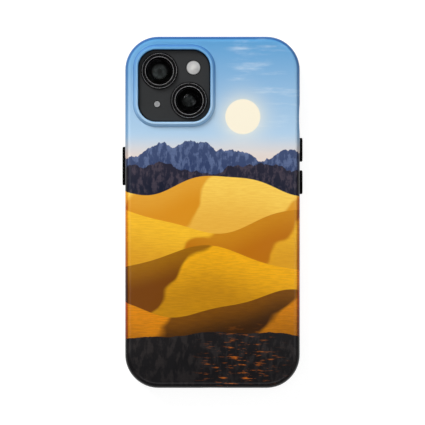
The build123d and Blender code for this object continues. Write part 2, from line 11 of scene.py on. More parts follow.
import bpy
from bpy.props import FloatProperty, FloatVectorProperty, IntProperty, PointerProperty
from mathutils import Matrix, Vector


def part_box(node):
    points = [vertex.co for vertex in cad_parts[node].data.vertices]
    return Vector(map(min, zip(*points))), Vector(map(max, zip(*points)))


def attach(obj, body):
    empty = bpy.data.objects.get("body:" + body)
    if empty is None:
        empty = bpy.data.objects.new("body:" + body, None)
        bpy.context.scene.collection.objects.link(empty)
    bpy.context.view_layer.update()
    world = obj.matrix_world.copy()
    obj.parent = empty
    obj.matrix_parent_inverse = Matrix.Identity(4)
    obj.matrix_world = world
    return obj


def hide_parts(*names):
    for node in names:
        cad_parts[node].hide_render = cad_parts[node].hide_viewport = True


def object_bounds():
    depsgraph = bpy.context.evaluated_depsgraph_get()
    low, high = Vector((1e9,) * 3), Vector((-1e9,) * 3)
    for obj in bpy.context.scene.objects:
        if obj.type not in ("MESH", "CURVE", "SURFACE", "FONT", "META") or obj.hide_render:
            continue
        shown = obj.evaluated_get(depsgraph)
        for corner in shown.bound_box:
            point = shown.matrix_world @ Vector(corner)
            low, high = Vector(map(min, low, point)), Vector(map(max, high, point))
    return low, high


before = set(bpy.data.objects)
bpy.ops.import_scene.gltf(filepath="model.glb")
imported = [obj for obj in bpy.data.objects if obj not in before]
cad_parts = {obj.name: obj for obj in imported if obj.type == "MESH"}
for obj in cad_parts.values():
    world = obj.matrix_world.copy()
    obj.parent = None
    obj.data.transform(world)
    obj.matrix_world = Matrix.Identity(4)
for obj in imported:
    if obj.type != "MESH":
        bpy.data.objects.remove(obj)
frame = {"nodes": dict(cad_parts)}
CAD_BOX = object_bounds()

bl_info = {
    "name": "Cased Phone Looks",
    "version": (1, 0, 0),
    "blender": (4, 5, 0),
    "location": "3D View > Sidebar > Cased Phone",
    "description": "Finishes and fine pieces of a smartphone in a printed protective case",
    "category": "Object",
}

MM = 0.001
MICRON = 1e-6
BODY = "cased_phone"
TURN_STEPS = 96  # facets round a turned piece
WELD = 1e-7  # points nearer than this are one point
CREASE = math.radians(32)  # sharper corners than this stay crisp
FAR = 1e6  # a pattern stretched this far doesn't change along that axis
FIELD_LOW, FIELD_HIGH = 0.3, 0.7  # most of an uneven field lies between these
BLACK = (0, 0, 0)
WHITE = (1, 1, 1)


class LensGlass(NamedTuple):
    """Look of a front element: its roughness, how strong the paler ring inside it is (inner glass and a
    painted reflection), and the share of that ring that is left over the pupil."""

    roughness: float
    ring: float
    pupil: float


LENSES = {"upper": LensGlass(0.3, 1.0, 0.2), "lower": LensGlass(0.06, 0.6, 0.7)}
FRONT_LENS = LensGlass(0.05, 0.05, 0.0)


def shown(red, green, blue):
    """Linear colour of a display colour whose channels run from 0 to 255."""

    def straight(channel):
        share = channel / 255
        return share / 12.92 if share <= 0.04045 else ((share + 0.055) / 1.055) ** 2.4

    return straight(red), straight(green), straight(blue)


def times(base, factor):
    """A colour made darker or paler."""
    return [factor * channel for channel in base]


def colour(name, description, *display):
    """A colour for the sidebar, given as it is displayed."""
    return FloatVectorProperty(
        name=name, description=description, default=shown(*display), subtype="COLOR", min=0, max=1
    )


def length(name, description, millimetres):
    """A length for the sidebar, given in millimetres."""
    return FloatProperty(
        name=name, description=description, default=millimetres * MM, unit="LENGTH", precision=5
    )


def amount(name, description, default):
    """A plain number for the sidebar."""
    return FloatProperty(name=name, description=description, default=default)


class PrintColours(bpy.types.PropertyGroup):
    """Colours of the desert landscape printed on the shell, from the sky down."""

    sky_high: colour("High sky", "Sky at the top end", 94, 160, 211)
    sky_low: colour("Low sky", "Sky above the horizon", 194, 221, 242)
    haze: colour("Haze", "Warm air along the horizon", 240, 216, 198)
    cloud: colour("Cloud", "Thin cloud", 228, 240, 249)
    sun: colour("Sun", "Disc of the sun", 255, 246, 222)
    range_lit: colour("Range, lit", "Lit faces of the far range", 96, 112, 150)
    range_shaded: colour("Range, shaded", "Shaded faces of the far range", 52, 66, 104)
    hills_lit: colour("Hills, lit", "Lit faces of the foothills", 74, 66, 78)
    hills_shaded: colour("Hills, shaded", "Shaded faces of the foothills", 26, 30, 48)
    far_lit: colour("Far dune, lit", "Lit faces of the far dune", 255, 212, 92)
    far_shaded: colour("Far dune, shaded", "Shaded faces of the far dune", 222, 146, 30)
    mid_lit: colour("Middle dune, lit", "Lit faces of the middle dune", 253, 196, 48)
    mid_shaded: colour("Middle dune, shaded", "Shaded faces of the middle dune", 190, 112, 16)
    near_lit: colour("Near dune, lit", "Lit faces of the near dune", 250, 180, 26)
    near_shaded: colour("Near dune, shaded", "Shaded faces of the near dune", 120, 66, 12)
    low_lit: colour("Low dune, lit", "Lit faces of the lowest dune", 228, 140, 20)
    low_shaded: colour("Low dune, shaded", "Shaded faces of the lowest dune", 58, 34, 14)
    ground_lit: colour("Ground", "Bare ground at the bottom end", 46, 42, 42)
    ground_shaded: colour("Ground, shaded", "Ground in shadow", 24, 23, 25)
    glint: colour("Glint", "Low light caught by the ground", 196, 104, 30)


class FinishColours(bpy.types.PropertyGroup):
    """Colours of the plain finishes."""

    liner: colour("Liner", "Soft liner and key pads", 4, 4, 4)
    frame: colour("Frame", "Blasted metal of the band and buttons", 118, 120, 124)
    plateau: colour("Back glass", "Frosted back glass and camera plateau", 50, 51, 52)
    trim_edge: colour("Trim edge", "Polished beads of the lens trims", 224, 224, 226)
    trim_land: colour("Trim land", "Black turned land between the beads", 4, 4, 5)
    barrel: colour("Barrel", "Matt black inside the cameras", 8, 8, 9)
    element: colour("Front element", "Dark glass of the lens elements", 9, 11, 11)
    # The element ring is partly the inner glass seen in a front element and partly a painted reflection
    element_ring_and_reflection: colour("Element ring", "Paler ring seen in a front element", 58, 63, 61)
    cover: colour("Cover glass", "Clear glass over the cameras and screen", 246, 248, 250)
    flash: colour("Flash", "Pale diffuser of the flash", 198, 198, 197)
    flash_core: colour("Flash core", "Brighter middle of the flash", 222, 221, 218)
    mesh: colour("Mesh", "Pale wire mesh of the rear microphone", 206, 207, 208)
    grille: colour("Grille", "Dark wire mesh of the speakers and earpiece", 112, 113, 116)
    steel: colour("Steel", "Drawn steel of the port", 150, 152, 156)
    tongue: colour("Tongue", "Plastic tongue of the port", 16, 16, 17)
    contact: colour("Contact", "Plated contacts", 222, 186, 104)
    battery: colour("Battery", "Wrap of the battery", 34, 35, 38)
    panel: colour("Panel", "Dark display panel", 6, 7, 10)


class FineSizes(bpy.types.PropertyGroup):
    """Sizes of the fine pieces that the solids leave out."""

    bead_radius: length("Trim bead", "Radius of the inner bead of a lens trim", 0.1)
    outer_bead: length("Outer bead", "Radius of the outer bead of a lens trim", 0.065)
    # The lens seal reaches past the real black seal: its outer part is painted shadow round the trims
    lens_seal_and_shadow: length("Lens seal", "Width of the black seals round the lens trims", 0.9)
    seal_width: length("Seal", "Width of the black seals round the flash and microphone", 0.45)
    barrel_mouth: length("Barrel mouth", "Radius of the widest baffle", 5.1)
    barrel_steps: IntProperty(name="Baffles", description="Baffles in a barrel", default=7, min=2)
    element_rim: length("Element rim", "Ground rim of a front element", 0.2)
    flash_rim: length("Flash rim", "Plain rim round the flash's grooves", 0.35)
    flash_grooves: IntProperty(name="Grooves", description="Grooves of the flash", default=7, min=2)
    flash_depth: length("Groove depth", "Depth of the flash's grooves", 0.11)
    mesh_rim: length("Mesh rim", "Rim round the microphone's mesh", 0.22)
    mesh_sink: length("Mesh sink", "Depth of the mesh in its rim", 0.1)
    mesh_wires: IntProperty(name="Wires", description="Wires across the mesh", default=9, min=3)
    mesh_wire: length("Mesh wire", "Thickness of the wire", 0.08)
    contacts: IntProperty(name="Contacts", description="Contacts on a face", default=12, min=1)
    contact_pitch: length("Contact pitch", "Distance between contacts", 0.5)
    contact_width: length("Contact width", "Width of a contact", 0.28)
    contact_length: length("Contact length", "Length of a contact", 2.6)
    contact_proud: length("Contact height", "Height of a contact above the tongue", 0.04)
    border_thickness: length("Border", "Thickness of the black border painted behind the glass", 0.08)
    screen_corner: length("Screen corner", "Corner radius of the screen's glass", 11.4)


class StageSizes(bpy.types.PropertyGroup):
    """Camera, lamps and floor."""

    camera_height: length("Camera height", "Camera above the floor", 750)
    focal_length: amount("Focal length", "Focal length of the camera in millimetres", 146.1)
    camera_back: length("Camera offset", "Camera towards the bottom end", 0.09)
    key: amount("Key", "Power of the key softbox in watts", 16.4)
    fill: amount("Fill", "Power of the fill softbox in watts", 4.5)
    strip: amount("Strips", "Power of each strip round the camera in watts", 1.55)
    floor_colour: colour("Floor", "Pale studio floor", 158, 158, 158)
    floor_glow: amount("Floor glow", "Whiteness of the floor as it is seen", 0.84)
    walls: amount("Walls", "Brightness of the studio walls above the white backdrop", 0.22)
    ceiling: amount("Ceiling", "Brightness of the studio ceiling", 0.04)


class Sheet:
    """Node sheet of one finish: its shader, the piece's own coordinates and short ways to add nodes."""

    def __init__(self, name):
        self.material = bpy.data.materials.new(name)
        self.material.use_nodes = True
        self.tree = self.material.node_tree
        self.tree.nodes.clear()
        self.shader = self.tree.nodes.new("ShaderNodeBsdfPrincipled")
        output = self.tree.nodes.new("ShaderNodeOutputMaterial")
        self.tree.links.new(self.shader.outputs["BSDF"], output.inputs["Surface"])
        self.place = self.tree.nodes.new("ShaderNodeTexCoord").outputs["Object"]

    def node(self, kind, inputs, **settings):
        """Adds a node, sets it up, and fills or links its inputs."""
        made = self.tree.nodes.new(kind)
        for key, value in settings.items():
            setattr(made, key, value)
        for key, value in inputs.items():
            self.feed(made.inputs[key], value)
        return made

    def feed(self, socket, value):
        """Links a socket to another one, or sets it."""
        if isinstance(value, bpy.types.NodeSocket):
            self.tree.links.new(value, socket)
        elif socket.type == "RGBA":
            socket.default_value = (*value, 1)
        else:
            socket.default_value = value

    def surface(self, **values):
        """Sets or links the shader's own sockets; an underscore stands for a space."""
        for key, value in values.items():
            self.feed(self.shader.inputs[key.replace("_", " ")], value)
        return self.material

    def math(self, operation, *values):
        """Number worked out from one, two or three others."""
        return self.node("ShaderNodeMath", dict(enumerate(values)), operation=operation).outputs[0]

    def wave(self, value, wavelength, start=0.0, height=1.0):
        """Sine of a coordinate."""
        turns = self.math("MULTIPLY_ADD", value, math.tau / wavelength, -math.tau * start / wavelength)
        return self.math("MULTIPLY", self.math("SINE", turns), height)

    def blend(self, share, first, second, mode="MIX"):
        """Colour between two others."""
        inputs = {0: share, 6: first, 7: second}
        return self.node("ShaderNodeMix", inputs, data_type="RGBA", blend_type=mode).outputs[2]

    def span(self, value, low, high, to_low=0.0, to_high=1.0, kind="SMOOTHSTEP"):
        """Number carried over from one range to another."""
        inputs = {0: value, 1: low, 2: high, 3: to_low, 4: to_high}
        return self.node("ShaderNodeMapRange", inputs, interpolation_type=kind).outputs[0]

    def vary(self, field, low, high):
        """Number between two others, as an uneven field goes from its low parts to its high ones."""
        return self.span(field, FIELD_LOW, FIELD_HIGH, low, high)

    def mottle(self, field, base, share, factor):
        """Colour that an uneven field takes up to a share of the way to a darker or paler one."""
        return self.blend(self.vary(field, 0, share), base, times(base, factor))

    def about(self, centre, size):
        """Coordinates centred on a point, in units of the given size."""
        inputs = {"Vector": self.place, "Location": centre, "Scale": size}
        return self.node("ShaderNodeMapping", inputs, vector_type="TEXTURE").outputs[0]

    def noise(self, size, detail=2.0, roughness=0.5, centre=(0, 0, 0)):
        """Uneven field whose patches are about as large as the given size."""
        size = size if isinstance(size, tuple) else (size,) * 3
        inputs = {"Vector": self.about(centre, size), "Scale": 1, "Detail": detail, "Roughness": roughness}
        return self.node("ShaderNodeTexNoise", inputs).outputs[0]

    def axes(self, size=1.0):
        """The three coordinates, in units of the given size."""
        scaled = self.about((0, 0, 0), (size,) * 3)
        return self.node("ShaderNodeSeparateXYZ", {0: scaled}).outputs

    def reach(self, centre, size):
        """Distance from an upright axis, in units of the given size."""
        scaled = self.about(centre, (size, size, FAR))
        return self.node("ShaderNodeVectorMath", {0: scaled}, operation="LENGTH").outputs["Value"]

    def unroll(self, facing, level):
        """Carries the pattern over the edges and down the sides, below the given level."""
        drop = self.math("MAXIMUM", self.math("SUBTRACT", level, self.axes()[2]), 0)
        outwards = self.node("ShaderNodeCombineXYZ", {0: drop, 1: drop}).outputs[0]
        inputs = {0: facing, 1: outwards, 2: self.place}
        self.place = self.node("ShaderNodeVectorMath", inputs, operation="MULTIPLY_ADD").outputs[0]

    def relief(self, height, depth):
        """Fine relief of the surface, as deep as given in metres."""
        bump = self.node("ShaderNodeBump", {"Height": height, "Distance": depth, "Strength": 1})
        self.feed(self.shader.inputs["Normal"], bump.outputs["Normal"])


class Ridge(NamedTuple):
    """One layer of the printed land, in millimetres: its crest's middle height, two waves and ruggedness,
    how far the line between its lit and shaded faces leans, and its pair of colours."""

    height: float
    swell: float
    swell_length: float
    swell_start: float
    ripple: float
    ripple_length: float
    rugged: float
    lean: float
    colours: str


RIDGES = (
    Ridge(27, 3.0, 64, -26, 1.0, 19, 5.0, 0.10, "range"),
    Ridge(19, 2.2, 46, 9, 0.8, 15, 3.4, 0.16, "hills"),
    Ridge(12, 4.2, 72, -14, 0.8, 31, 0.0, 0.09, "far"),
    Ridge(-3, 5.4, 90, 22, 0.9, 37, 0.0, 0.07, "mid"),
    Ridge(-21, 6.0, 106, -30, 1.0, 43, 0.0, 0.06, "near"),
    Ridge(-39, 5.2, 98, 10, 0.9, 35, 0.0, 0.06, "low"),
    Ridge(-53, 1.6, 120, -20, 0.5, 29, 0.8, 0.05, "ground"),
)

# The print's sky, with heights and places in millimetres from the middle of the back
HORIZON = 24
SKY_TOP = 74
HAZE_TOP = HORIZON + 11
HAZE_FOOT = HORIZON - 2
HAZE_SHARE = 0.8
CLOUD_START = 2  # clouds stay to the right of this, clear of the collar
CLOUD_FULL = CLOUD_START + 12
CLOUD_SHARE = 0.55
CLOUD_SIZE = (26 * MM, 4.5 * MM, FAR)

# The print's sun, with its glow in radii of the sun
SUN_PLACE = (13 * MM, 41 * MM, 0)
SUN_RADIUS = 7.5 * MM
SUN_BLUR = 0.03
GLOW_REACH = 2.8
GLOW_FULL = 0.9
GLOW_FALL = 3.0  # power by which the glow falls off
GLOW_SHARE = 0.5

# The print's land, with depths below a crest in millimetres
CREST_BLUR = 0.25
LIT_FADE = (1, 22)  # depths between which a lit face darkens
LIT_FADE_SHARE = 0.5
SHADE_FADE = 12  # depth down to which a shaded face is paler
SHADE_FADE_SHARE = 0.22
SHADE_LAG = 1.3  # radians from a wave's rise to the line between its lit and shaded faces
SHADE_BLUR = 0.14
WANDER = 2.6  # radians by which that line wanders
WANDER_SIZE = 17 * MM
PEAK_SIZE = (9 * MM, FAR, FAR)
PEAK_SCALE = 3  # brings a field's usual reach up to the ruggedness
SLOPE_SIZE = (2.6 * MM, 6 * MM, FAR)
RIPPLE_SIZE = (5 * MM, 0.55 * MM, FAR)
RIPPLE_SHARE = 0.2
GLINT_PLACE = (12 * MM, -66 * MM, 0)
GLINT_REACH = 24 * MM
GLINT_SIZE = (6 * MM, 1.1 * MM, FAR)

# Painted shade laid on the print over the shell's edges and on the camera collar's slopes
COLLAR_RISE = 1.4 * MM  # collar above the shell's flat back
BACK_LEVEL = CAD_BOX[1].z - COLLAR_RISE
COLLAR_FOOT = BACK_LEVEL / MM + 0.05  # tilted faces below this height in millimetres are the shell's edges
COLLAR_SLOPE = BACK_LEVEL / MM + 0.65  # tilted faces above this one are the collar's slopes
EDGE_SHADE = 0.9  # share of painted shade, a second coat of the print over itself, where the print wraps over the edges
EDGE_SHADE_BLACK = 0.25  # share of painted black shade there, which the collar doesn't have
COLLAR_SHADE = 0.6  # share of the painted shade on the collar's slopes
WALL_SHADE = 0.3  # what is left of the painted shade on upright walls
TILT_START, TILT_FULL = 0.955, 0.77  # upward part of a face's normal where the painted shade starts and is full
WALL_FULL, WALL_START = 0.05, 0.35  # upward part at which a face is a wall, and starts to be one
SEAL_SOLID = 0.3  # share of a seal's width that is fully black, before it fades outwards; round the lens trims the fading part is painted shadow


def printed_sky(sheet, colours, x, y):
    """Clear sky with thin clouds, haze along the horizon, and the sun in its glow."""
    height = sheet.span(y, HORIZON, SKY_TOP, kind="LINEAR")
    picture = sheet.blend(height, colours.sky_low, colours.sky_high)
    wisps = sheet.noise(CLOUD_SIZE, detail=5.0, roughness=0.6)
    wisps = sheet.span(wisps, 0.5, 0.78, 0, CLOUD_SHARE)
    wisps = sheet.math("MULTIPLY", wisps, sheet.span(x, CLOUD_START, CLOUD_FULL))
    picture = sheet.blend(wisps, picture, colours.cloud)
    haze = sheet.span(y, HAZE_TOP, HAZE_FOOT, 0, HAZE_SHARE)
    picture = sheet.blend(haze, picture, colours.haze)
    out = sheet.reach(SUN_PLACE, SUN_RADIUS)
    glow = sheet.math("POWER", sheet.span(out, GLOW_REACH, GLOW_FULL, kind="LINEAR"), GLOW_FALL)
    picture = sheet.blend(sheet.math("MULTIPLY", glow, GLOW_SHARE), picture, colours.sun)
    return sheet.blend(sheet.span(out, 1 + SUN_BLUR, 1 - SUN_BLUR), picture, colours.sun)


def crest_line(sheet, ridge, x):
    """Height of a ridge's crest: two waves, with peaks where it is rugged.

    Here and below, a field centred by the ridge's height is that ridge's own.
    """
    swell = sheet.wave(x, ridge.swell_length, ridge.swell_start, ridge.swell)
    ripple = sheet.wave(x, ridge.ripple_length, -ridge.swell_start, ridge.ripple)
    crest = sheet.math("ADD", sheet.math("ADD", swell, ripple), ridge.height)
    if ridge.rugged:
        peaks = sheet.noise(PEAK_SIZE, detail=6.0, roughness=0.58, centre=(ridge.height, 0, 0))
        peaks = sheet.math("SUBTRACT", peaks, 0.5)
        crest = sheet.math("MULTIPLY_ADD", peaks, PEAK_SCALE * ridge.rugged, crest)
    return crest


def lit_part(sheet, ridge, x, depth):
    """Where a ridge is lit: on broken slopes if it is rugged, and else to one side of a wandering line."""
    if ridge.rugged:
        slopes = sheet.noise(SLOPE_SIZE, detail=5.0, roughness=0.62, centre=(0, ridge.height, 0))
        return sheet.span(slopes, 0.46, 0.6)
    wander = sheet.noise(WANDER_SIZE, detail=1.5, roughness=0.4, centre=(0, 0, ridge.height))
    phase = -math.tau * ridge.swell_start / ridge.swell_length - SHADE_LAG
    face = sheet.math("MULTIPLY_ADD", x, math.tau / ridge.swell_length, phase)
    face = sheet.math("MULTIPLY_ADD", depth, ridge.lean, face)
    face = sheet.math("MULTIPLY_ADD", wander, WANDER, face)
    return sheet.span(sheet.math("COSINE", face), SHADE_BLUR, -SHADE_BLUR)


def printed_ridge(sheet, colours, ridge, picture, x, y):
    """One ridge in front of the picture so far."""
    lit = getattr(colours, f"{ridge.colours}_lit")
    shaded = getattr(colours, f"{ridge.colours}_shaded")
    depth = sheet.math("SUBTRACT", crest_line(sheet, ridge, x), y)
    lit_face = sheet.blend(sheet.span(depth, *LIT_FADE, 0, LIT_FADE_SHARE), lit, shaded)
    shaded_face = sheet.blend(sheet.span(depth, 0, SHADE_FADE, SHADE_FADE_SHARE, 0), shaded, lit)
    land = sheet.blend(lit_part(sheet, ridge, x, depth), shaded_face, lit_face)
    ripples = sheet.noise(RIPPLE_SIZE, detail=3.0, roughness=0.6, centre=(0, 0, ridge.height))
    land = sheet.blend(sheet.span(ripples, 0.38, 0.62, RIPPLE_SHARE, 0), land, shaded)
    return sheet.blend(sheet.span(depth, 0, CREST_BLUR), picture, land)


def painted_edge_shade(sheet, picture, facing, height):
    """Painted shade where the print wraps over the edges and the camera collar: the print is multiplied
    over itself and, on the edges, blended towards black, more as faces tilt.
    """
    upward = sheet.node("ShaderNodeSeparateXYZ", {0: facing}).outputs["Z"]
    tilted = sheet.span(upward, TILT_START, TILT_FULL)
    coat = sheet.span(height, COLLAR_FOOT, COLLAR_SLOPE, EDGE_SHADE, COLLAR_SHADE)
    coat = sheet.math("MULTIPLY", coat, tilted)
    coat = sheet.math("MULTIPLY", coat, sheet.span(upward, WALL_FULL, WALL_START, WALL_SHADE, 1))
    # Painted shade: a darker coat of the print on tilted faces, then black on the edges
    picture = sheet.blend(coat, picture, picture, "MULTIPLY")
    black = sheet.span(height, COLLAR_FOOT, COLLAR_SLOPE, EDGE_SHADE_BLACK, 0)
    return sheet.blend(sheet.math("MULTIPLY", black, tilted), picture, BLACK)


def printed_shell(colours):
    """Hard shell with a satin coat over an all-over print: a clear sky above a range and golden dunes."""
    sheet = Sheet("printed_shell")
    facing = sheet.node("ShaderNodeNewGeometry", {}).outputs["Normal"]
    sheet.unroll(facing, BACK_LEVEL)
    x, y, z = sheet.axes(MM)
    picture = printed_sky(sheet, colours, x, y)
    for ridge in RIDGES:
        picture = printed_ridge(sheet, colours, ridge, picture, x, y)
    glints = sheet.noise(GLINT_SIZE, detail=4.0, roughness=0.6)
    near_glint = sheet.span(sheet.reach(GLINT_PLACE, GLINT_REACH), 1.0, 0.1)
    glints = sheet.math("MULTIPLY", sheet.span(glints, 0.55, 0.72), near_glint)
    picture = sheet.blend(glints, picture, colours.glint)
    scuffs = sheet.noise(3 * MM, detail=6.0, roughness=0.7)
    sheet.relief(sheet.noise(0.35 * MM), 1.2 * MICRON)
    return sheet.surface(
        # The base colour carries painted shade over the edges and the collar's slopes
        Base_Color=painted_edge_shade(sheet, picture, facing, z),
        Roughness=sheet.vary(scuffs, 0.13, 0.18),
        Specular_IOR_Level=0.22,
    )


def soft_liner(colours):
    """Moulded soft liner: near black, with a fine spark-eroded grain and a few paler rubbed patches."""
    sheet = Sheet("soft_liner")
    grain = sheet.noise(0.18 * MM, detail=3.0, roughness=0.6)
    rubbed = sheet.span(sheet.noise(7 * MM, detail=4.0, roughness=0.6), 0.55, 0.8, 0, 0.35)
    base = sheet.blend(rubbed, colours.liner, times(colours.liner, 2))
    sheet.relief(grain, 8 * MICRON)
    return sheet.surface(Base_Color=base, Roughness=sheet.vary(grain, 0.6, 0.72), Specular_IOR_Level=0.08)


def blasted_metal(name, base, roughness):
    """Bead-blasted, anodised metal with the faint unevenness of its dye."""
    sheet = Sheet(name)
    grain = sheet.noise(0.09 * MM, detail=3.0, roughness=0.65)
    dye = sheet.noise(14 * MM)
    sheet.relief(grain, 4 * MICRON)
    return sheet.surface(
        Base_Color=sheet.mottle(dye, base, share=0.3, factor=0.8),
        Metallic=1.0,
        Roughness=sheet.span(grain, 0.25, 0.75, roughness - 0.06, roughness + 0.06),
    )


def frosted_glass(colours, seals):
    """Etched back glass: an even dark colour under a silky texture, with a black seal round each inset;
    round the lens trims the seal is widened into painted shadow.
    """
    sheet = Sheet("frosted_back_glass")
    etch = sheet.noise(0.06 * MM, roughness=0.7)
    cloudy = sheet.noise(9 * MM, detail=3.0)
    base = sheet.mottle(cloudy, colours.plateau, share=0.12, factor=1.5)
    for centre, radius, width in seals:
        out = sheet.reach(centre, MM)
        seal = sheet.span(out, (radius + width) / MM, (radius + SEAL_SOLID * width) / MM)
        base = sheet.blend(seal, base, colours.trim_land)
    sheet.relief(etch, 1.5 * MICRON)
    return sheet.surface(Base_Color=base, Roughness=sheet.vary(etch, 0.46, 0.56), Specular_IOR_Level=0.15)


def turned(name, base, centre, pitch, depth, metallic=0.0, roughness=0.4, gloss=0.5):
    """Lathe-turned surface: fine rings round the piece's axis, slightly uneven."""
    sheet = Sheet(name)
    rings = sheet.math("SINE", sheet.math("MULTIPLY", sheet.reach(centre, pitch), math.tau))
    uneven = sheet.noise(0.4 * MM, detail=3.0, roughness=0.6)
    sheet.relief(rings, depth)
    return sheet.surface(
        Base_Color=sheet.mottle(uneven, base, share=0.35, factor=0.7),
        Metallic=metallic,
        Roughness=sheet.span(uneven, 0.25, 0.75, roughness - 0.08, roughness + 0.08),
        Specular_IOR_Level=gloss,
    )


def coated_element(name, colours, centre, radius, look):
    """Coated front element: a darker pupil inside a paler ring, partly inner glass and partly painted
    reflection, with faint polish marks.
    """
    sheet = Sheet(name)
    out = sheet.reach(centre, radius)
    marks = sheet.noise(0.3 * MM, detail=4.0, roughness=0.7)
    uneven = sheet.noise(2 * MM, detail=1.0, centre=centre)
    uneven = sheet.span(uneven, 0.35, 0.65, 0.35 * look.ring, look.ring)
    band = sheet.math("MULTIPLY", sheet.span(out, 0.12, 0.5, look.pupil, 1), sheet.span(out, 1.0, 0.72))
    # Painted reflection, together with the inner glass: the paler ring over the dark element
    base = sheet.blend(sheet.math("MULTIPLY", band, uneven), colours.element, colours.element_ring_and_reflection)
    return sheet.surface(
        Base_Color=base,
        Roughness=sheet.span(marks, 0.3, 0.8, look.roughness, look.roughness + 0.05),
        IOR=1.3,
    )


def clear_glass(name, colours, index):
    """Clear cover glass with a wiped-on trace of smear."""
    sheet = Sheet(name)
    smear = sheet.noise((4 * MM, 1.5 * MM, 4 * MM), detail=4.0, roughness=0.6)
    return sheet.surface(
        Base_Color=colours.cover,
        Roughness=sheet.span(smear, 0.45, 0.8, 0.0, 0.05),
        Transmission_Weight=1.0,
        IOR=index,
    )


def flash_diffuser(colours, centre, radius):
    """Pale diffuser, brightest in the middle and darker at its rim, with fine facets."""
    sheet = Sheet("flash_diffuser")
    out = sheet.reach(centre, radius)
    base = sheet.blend(sheet.span(out, 0.1, 0.75), colours.flash_core, colours.flash)
    base = sheet.blend(sheet.span(out, 0.86, 1.0, 0, 0.75), base, times(colours.flash, 0.25))
    facets = sheet.noise(0.25 * MM)
    sheet.relief(facets, 6 * MICRON)
    return sheet.surface(Base_Color=base, Roughness=sheet.vary(facets, 0.45, 0.55), Specular_IOR_Level=0.3)


def woven_mesh(name, wire, pitch):
    """Woven wire mesh: two crossed sets of wires, with dark gaps between them."""
    sheet = Sheet(name)
    x, y, z = sheet.axes(pitch)
    warp = sheet.math("ABSOLUTE", sheet.wave(x, 2))
    weft = sheet.math("ABSOLUTE", sheet.wave(sheet.math("ADD", y, z), 2))
    wires = sheet.math("MAXIMUM", warp, weft)
    base = sheet.blend(sheet.span(wires, 0.55, 0.9), times(wire, 0.06), wire)
    sheet.relief(wires, 0.15 * pitch)
    return sheet.surface(Base_Color=base, Metallic=1.0, Roughness=0.42)


def drawn_steel(name, base):
    """Drawn sheet metal, streaked along its length."""
    sheet = Sheet(name)
    streaks = sheet.noise((0.12 * MM, 4 * MM, 0.12 * MM), detail=3.0, roughness=0.6)
    tint = sheet.mottle(streaks, base, share=0.4, factor=0.6)
    sheet.relief(streaks, 3 * MICRON)
    return sheet.surface(Base_Color=tint, Metallic=1.0, Roughness=sheet.vary(streaks, 0.2, 0.34))


def moulded(name, base, grain_size, roughness, gloss=0.5):
    """Moulded plastic, wrap or paint with a fine grain."""
    sheet = Sheet(name)
    grain = sheet.noise(grain_size, detail=3.0, roughness=0.6)
    sheet.relief(grain, 5 * MICRON)
    return sheet.surface(
        Base_Color=sheet.mottle(grain, base, share=0.4, factor=0.6),
        Roughness=sheet.vary(grain, roughness - 0.06, roughness + 0.06),
        Specular_IOR_Level=gloss,
    )


def display_panel(colours):
    """Dark display panel with its fine grid of cells."""
    sheet = Sheet("display_panel")
    x, y, _ = sheet.axes(0.2 * MM)
    cells = sheet.math("MULTIPLY", sheet.wave(x, 2), sheet.wave(y, 2))
    base = sheet.blend(sheet.span(cells, -0.4, 0.4), colours.panel, times(colours.panel, 1.8))
    return sheet.surface(Base_Color=base, Roughness=0.22, Specular_IOR_Level=0.05)


class Point(NamedTuple):
    """A point of a turned piece's profile: its distance from the axis and its height."""

    radius: float
    height: float


def arc(middle, radius, first, last, steps):
    """Points along a round of a profile, between two angles in degrees."""
    points = []
    for step in range(steps + 1):
        angle = math.radians(first + (last - first) * step / steps)
        across, rise = radius * math.cos(angle), radius * math.sin(angle)
        points.append(Point(middle.radius + across, middle.height + rise))
    return points


def start_piece():
    """Deselects everything, so that the operators act on the new piece alone."""
    bpy.ops.object.select_all(action="DESELECT")


def name_piece(name):
    """Names the new piece and leaves its place in its mesh."""
    piece = bpy.context.object
    piece.name = piece.data.name = name
    bpy.ops.object.transform_apply(location=True, rotation=True, scale=True)
    return piece


def apply_modifier(kind, **settings):
    """Adds a modifier to the active piece, sets it up and applies it."""
    bpy.ops.object.modifier_add(type=kind)
    modifier = bpy.context.object.modifiers[-1]
    for key, value in settings.items():
        setattr(modifier, key, value)
    bpy.ops.object.modifier_apply(modifier=modifier.name)


def select_faces(piece, wanted):
    """Selects the faces of the piece in edit mode that a test picks."""
    bpy.ops.mesh.select_all(action="DESELECT")
    bpy.ops.object.mode_set(mode="OBJECT")
    for face in piece.data.polygons:
        face.select = wanted(face)
    bpy.ops.object.mode_set(mode="EDIT")


def turn(name, centre, profile):
    """Turned piece: the profile is drawn point by point and spun once round its upright axis."""
    start_piece()
    first = profile[0]
    bpy.ops.mesh.primitive_plane_add(size=MM, location=(centre.x + first.radius, centre.y, first.height))
    piece = name_piece(name)
    bpy.ops.object.mode_set(mode="EDIT")
    bpy.ops.mesh.merge(type="CENTER")
    for here, there in zip(profile, profile[1:]):
        step = (there.radius - here.radius, 0, there.height - here.height)
        bpy.ops.mesh.extrude_vertices_move(TRANSFORM_OT_translate={"value": step})
    bpy.ops.mesh.select_all(action="SELECT")
    bpy.ops.mesh.spin(steps=TURN_STEPS, angle=math.tau, center=(centre.x, centre.y, 0), axis=(0, 0, 1))
    bpy.ops.mesh.select_all(action="SELECT")
    bpy.ops.mesh.remove_doubles(threshold=WELD)
    bpy.ops.mesh.normals_make_consistent(inside=False)
    bpy.ops.object.mode_set(mode="OBJECT")
    bpy.ops.object.shade_smooth_by_angle(angle=CREASE)
    return piece


def finish_piece(piece, materials, replaced=()):
    """Gives a new piece its finishes and its body, and hides the nodes it stands in for."""
    for material in materials:
        piece.data.materials.append(material)
    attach(piece, BODY)
    if replaced:
        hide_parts(*replaced)


def dress(material, *nodes):
    """Gives CAD nodes a finish in place of their plain one."""
    for node in nodes:
        frame["nodes"][node].material_slots[0].material = material


